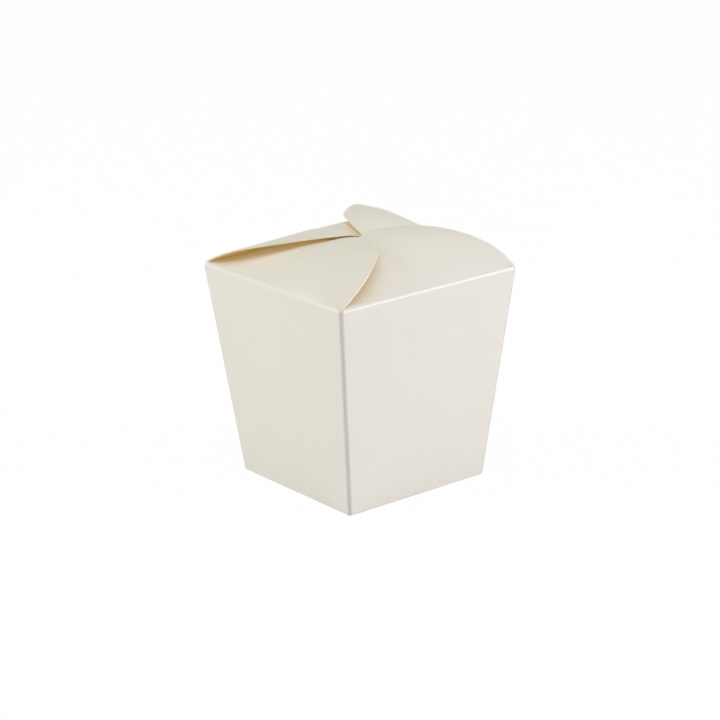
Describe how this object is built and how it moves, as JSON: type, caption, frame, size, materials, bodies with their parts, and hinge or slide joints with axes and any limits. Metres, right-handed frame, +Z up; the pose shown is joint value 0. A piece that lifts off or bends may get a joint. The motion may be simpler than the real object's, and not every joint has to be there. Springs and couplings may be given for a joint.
{
  "type": "folded takeout food box",
  "caption": "Tapered square takeout box folded from one sheet of cream card, closed by rounded flaps that lap round in a ring.",
  "frame": {"origin": "middle of the square base, on the surface that the box stands on", "axes": "+Z up through the closure, +X and +Y square to two neighbouring walls; the glue lap is inside the +Y wall at its +X end"},
  "size_m": [0.0798, 0.0798, 0.0928],
  "materials": {
    "card": "soft pearl coated card, cream ivory"
  },
  "bodies": {
    "root": {"folded_carton": "card"}
  },
  "joints": []
}
